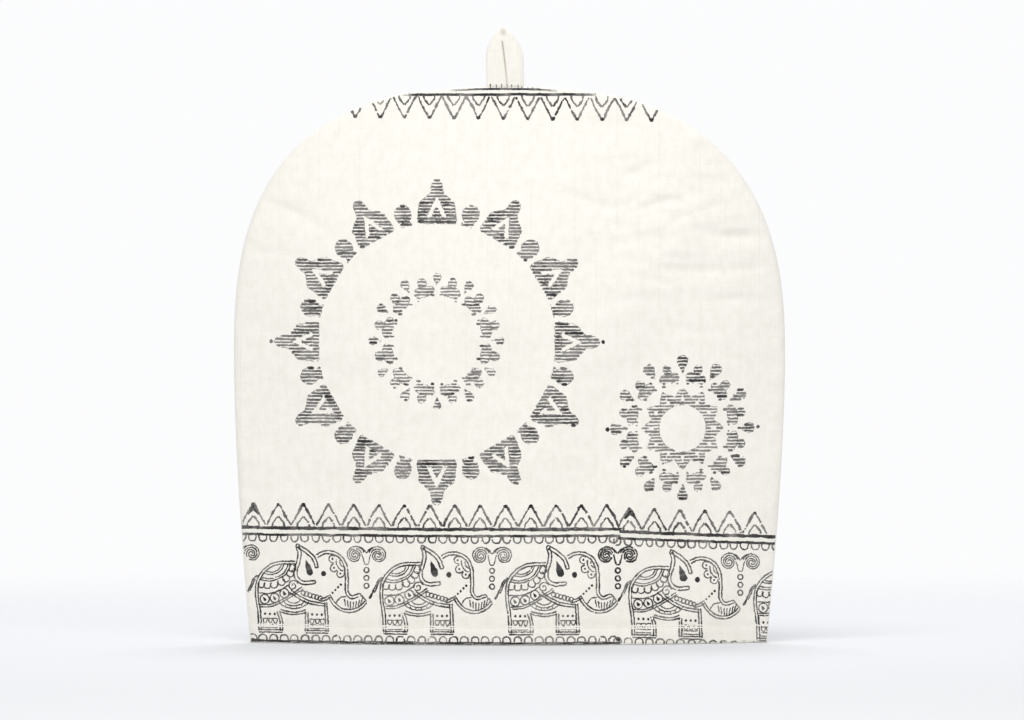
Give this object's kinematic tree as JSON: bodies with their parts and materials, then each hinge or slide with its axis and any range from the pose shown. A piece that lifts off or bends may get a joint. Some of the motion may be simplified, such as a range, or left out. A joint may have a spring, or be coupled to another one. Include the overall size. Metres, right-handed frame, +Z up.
{
  "type": "tea cosy",
  "caption": "Dome-shaped tea cosy of padded cream cotton with a charcoal block print, open at the straight hem, with a folded hanging loop at the top.",
  "frame": {"origin": "on the surface that the hem rests on, under the middle of the cosy's box", "axes": "-Y out of the printed front, +X to the right as seen from the front, +Z up to the hanging loop"},
  "size_m": [0.3306, 0.1019, 0.3692],
  "materials": {
    "printed_cotton": "matt slubbed cotton with a dry charcoal block print",
    "plain_cotton": "matt slubbed cotton",
    "charcoal_print": "dry matt block-print ink with ragged edges"
  },
  "bodies": {
    "root": {"front_panel": "printed_cotton", "back_panel": "plain_cotton", "hanging_loop": "plain_cotton"}
  },
  "joints": []
}
